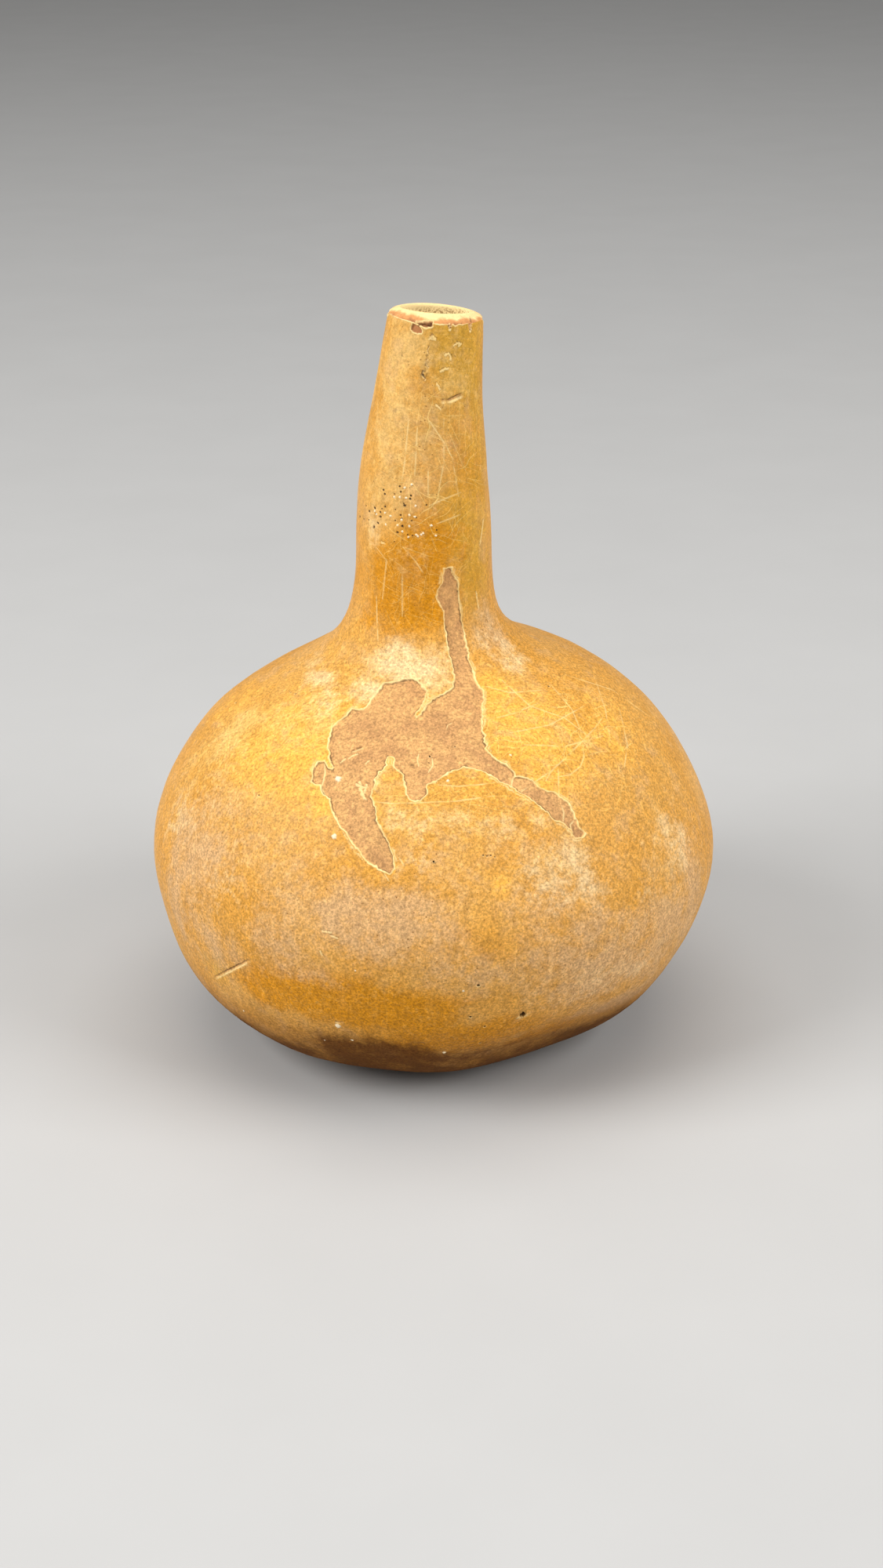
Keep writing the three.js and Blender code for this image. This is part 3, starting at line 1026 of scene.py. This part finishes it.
class Grain:
    """Noise that several layers of the rind share."""

    def __init__(self, g):
        self.wide = g.cloud(26, detail=3)
        self.patchy = g.cloud(9, detail=5, roughness=0.62)
        self.mottled = g.cloud(6.5, detail=4, roughness=0.6, distortion=0.5)
        self.strokes = g.cloud(1.8, detail=3, roughness=0.6, drawn_out=5)
        self.fine = g.cloud(1.9, detail=4, roughness=0.65, distortion=0.2)
        self.grain = g.cloud(0.68, detail=4, roughness=0.75)
        coarse_pores = g.math("MULTIPLY", g.dots(spacing=1.5, radius=0.24, share=0.4), 0.6)
        fine_pores = g.math("MULTIPLY", g.dots(spacing=0.8, radius=0.15, share=0.3), 0.5)
        peppered = g.ramp(g.attribute("dust_and_sheen"), 0, 0.8, 0.9, 1.5)
        self.pores = g.math("MULTIPLY", g.math("MAXIMUM", coarse_pores, fine_pores), peppered)
        self.scratched = hair_scratches(g, self.wide)


def hair_scratches(g, wavering):
    """Fine pale lines in several directions, mostly where the rind is scuffed."""
    waver = g.ramp(wavering, 0.2, 0.8, -HAIR_WAVER, HAIR_WAVER)
    across = g.math("ADD", g.attribute("skin_across"), waver)
    along = g.math("SUBTRACT", g.attribute("skin_along"), waver)
    skin = g.add("ShaderNodeCombineXYZ", {"X": across, "Y": along}).outputs[0]
    lines = 0.0
    for turn, length in HAIR_LINES:
        streak = g.streaks(skin, turn, HAIR_WIDTH, length)
        lines = g.math("MAXIMUM", g.ramp(streak, 0.70, 0.78), lines)
    return g.math("MULTIPLY", lines, g.ramp(g.attribute("scuff"), 0, 1, 0.06, 0.6))


def zone(g, grain, name, softness, most):
    """A painted patch, broken up at its edge by cloudy noise and fine grain."""
    painted = g.attribute(name)
    cloudy = g.spread(grain.patchy, -0.28, 0.24)
    stippled = g.spread(grain.fine, -0.14, 0.14)
    uneven = g.math("MULTIPLY", g.math("ADD", cloudy, stippled), g.ramp(painted, 0, 0.3))
    return g.ramp(g.math("ADD", painted, uneven), LAYER_FROM, LAYER_FROM + softness, 0, most)


def skin_colour(g, grain):
    colour = g.mix(g.ramp(grain.wide, 0.3, 0.7), DEEP_GOLD, GOLD)
    for name, softness, most, paint in SKIN_LAYERS:
        colour = g.mix(zone(g, grain, name, softness, most), colour, paint)
    dusty = g.ramp(grain.mottled, 0.5, 0.72, 0, MOTTLED_COVER)
    not_amber = g.ramp(g.attribute("amber"), 0, 0.8, 1, 0.2)
    colour = g.mix(g.math("MULTIPLY", dusty, not_amber), colour, DUST_AND_SHEEN)
    colour = g.mix(g.ramp(grain.mottled, 0.5, 0.3, 0, MOTTLED_COVER), colour, DEEP_GOLD)
    colour = g.mix(g.ramp(grain.fine, 0.52, 0.74, 0, 0.2), colour, PALE_FLECK)
    colour = g.mix(grain.scratched, colour, SCRATCH)
    # painted shade, browner towards the foot
    colour = g.mix(g.ramp(g.attribute("foot_shade"), 0, 1, 0, FOOT_SHADE_COVER), colour, FOOT_SHADE)
    # the ground stain, grime and painted shade near the floor
    colour = g.mix(zone(g, grain, *GRIME_AND_SHADE_LAYER), colour, GRIME_AND_SHADE)
    return grained(g, grain, colour)


def scar_colour(g, grain):
    colour = g.mix(g.ramp(grain.mottled, 0.3, 0.65), SCAR_BROWN, SCAR_TAN)
    colour = g.mix(g.ramp(grain.fine, 0.54, 0.76, 0, 0.25), colour, PALE_FLECK)
    return grained(g, grain, colour)


def grained(g, grain, colour):
    """A colour with strokes, grain and dark pores in it."""
    colour = g.shade(colour, g.spread(grain.strokes, 0.9, 1.1))
    colour = g.shade(colour, g.spread(grain.fine, 0.94, 1.06))
    speckled = g.spread(grain.grain, 0.55, 1.45)
    calm = g.ramp(g.attribute("neck"), 0, 1, 0, 0.45)
    colour = g.shade(colour, g.blend(calm, speckled, 1.0))
    return g.mix(grain.pores, colour, FLECK)


def mouth_colour(g, grain):
    outward = g.math("ADD", g.attribute("rimward"), g.ramp(g.cloud(3), 0.3, 0.7, -0.2, 0.2))
    colour = g.mix(g.ramp(outward, 0.3, 0.75), CUT_CREAM, CUT_ORANGE)
    colour = g.mix(g.ramp(outward, 0.8, 1.15), colour, CUT_BROWN)
    return g.shade(colour, g.spread(grain.grain, 0.85, 1.12))


def pith_colour(g):
    stipple = g.ramp(g.cloud(0.45, detail=2, roughness=0.5), 0.46, 0.6, 0, 0.8)
    return g.mix(g.math("MULTIPLY", stipple, g.attribute("deep")), PITH, PITH_BROWN)


def rind_material():
    g = Graph("gourd_rind")
    grain = Grain(g)
    scar = g.attribute("scar")
    cut = g.attribute("cut")
    inner = g.attribute("inner")
    colour = g.mix(scar, skin_colour(g, grain), scar_colour(g, grain))
    colour = g.mix(cut, colour, mouth_colour(g, grain))
    colour = g.mix(inner, colour, pith_colour(g))
    colour = g.mix(g.attribute("edge"), colour, EDGE)
    colour = g.mix(g.attribute("chip"), colour, g.mix(grain.fine, CUT_BROWN, CUT_ORANGE))
    colour = g.mix(g.attribute("dark"), colour, DARK)
    colour = g.mix(g.attribute("pale"), colour, PALE)
    g.set(g.shader.inputs["Base Color"], colour)
    g.shader.inputs["Specular IOR Level"].default_value = SPECULAR

    rough = g.ramp(grain.patchy, 0.3, 0.7, *SKIN_ROUGHNESS)
    for name, value in ROUGH_PLACES:
        rough = g.blend(g.ramp(g.attribute(name), 0, 1), rough, value)
    g.set(g.shader.inputs["Roughness"], rough)

    pebbles = g.cloud(PEBBLE_SIZE, detail=2, roughness=0.6)
    pebbled = g.math("MULTIPLY", pebbles, g.ramp(g.attribute("amber"), 0.2, 1, 0, PEBBLE_HEIGHT))
    relief = g.math("ADD", grain.fine, g.math("MULTIPLY", grain.grain, GRAIN_HEIGHT))
    relief = g.math("ADD", relief, pebbled)
    relief = g.math("SUBTRACT", relief, g.math("MULTIPLY", grain.scratched, HAIR_DEPTH))
    relief = g.math("SUBTRACT", relief, g.math("MULTIPLY", grain.pores, PORE_DEPTH))
    heights = {"Height": relief, "Strength": BUMP_STRENGTH, "Distance": BUMP_HEIGHT * MM}
    g.set(g.shader.inputs["Normal"], g.add("ShaderNodeBump", heights).outputs[0])
    return g.material


def make_gourd():
    shell = Shell()
    marks = Marks(shell)
    mesh = refined_mesh(shell, marks)
    mesh.shade_smooth()
    rind = Rind(mesh, marks)
    rind.undulate()
    rind.peel_scars()
    rind.sink_pits()
    rind.stain()
    rind.raise_crumbs()
    rind.lift_flakes()
    rind.prick_crust()
    rind.carve_cuts()
    rind.scratch()
    rind.wear_mouth()
    rind.colour_zones()
    rind.unroll()
    rind.apply()
    mesh.materials.clear()
    mesh.materials.append(rind_material())
    gourd = placed("gourd_rind", mesh)
    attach(gourd, "root")
    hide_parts(NODE)


# The stage, in metres and watts: soft lights as place, size and power
LIGHTS = {
    "key": ((-1.1, -0.55, 0.95), 0.8, 21),
    "top": ((0, 0.2, 2.6), 2.4, 34),
    "fill": ((1.15, -0.5, 0.9), 0.9, 16),
}
WORLD_STRENGTH = 0.3
NEAREST_SEEN = 0.01
FLOOR_HALF = 5.0
FLOOR_COLOURS = ((0.44, 0.435, 0.425), (0.47, 0.465, 0.455))
FLOOR_CLOUD = 60  # millimetres
FLOOR_ROUGHNESS = 0.9


def make_camera():
    data = bpy.data.cameras.new("camera")
    data.sensor_width = SENSOR_WIDTH
    data.lens = SENSOR_WIDTH * FOCAL_PX / PHOTO_HEIGHT
    data.clip_start = NEAREST_SEEN
    camera = placed("camera", data)
    camera.location = EYE * MM
    camera.rotation_euler = (math.pi / 2 - PITCH, 0, 0)
    bpy.context.scene.camera = camera


def make_floor():
    g = Graph("floor")
    g.set(g.shader.inputs["Base Color"], g.mix(g.cloud(FLOOR_CLOUD), *FLOOR_COLOURS))
    g.shader.inputs["Roughness"].default_value = FLOOR_ROUGHNESS
    mesh = bpy.data.meshes.new("floor")
    corners = [(-1, -1), (1, -1), (1, 1), (-1, 1)]
    mesh.from_pydata([(FLOOR_HALF * x, FLOOR_HALF * y, 0) for x, y in corners], [], [(0, 1, 2, 3)])
    mesh.materials.append(g.material)
    floor = placed("floor", mesh)


def add_softbox(name, place, size, power):
    """A square soft light, aimed at the middle of the gourd."""
    data = bpy.data.lights.new(name, "AREA")
    data.size = size
    data.energy = power
    light = placed(name, data)
    light.location = place
    middle = (Vector(cad_box[0]) + Vector(cad_box[1])) / 2
    light.rotation_euler = (middle - light.location).to_track_quat("-Z", "Y").to_euler()


def make_lights():
    for name, light in LIGHTS.items():
        add_softbox(name, *light)
    world = bpy.data.worlds.new("studio")
    bpy.context.scene.world = world
    world.use_nodes = True
    world.node_tree.nodes["Background"].inputs["Color"].default_value = (1, 1, 1, 1)
    world.node_tree.nodes["Background"].inputs["Strength"].default_value = WORLD_STRENGTH
    bpy.context.scene.view_settings.view_transform = "Standard"


make_camera()
make_gourd()
make_floor()
make_lights()
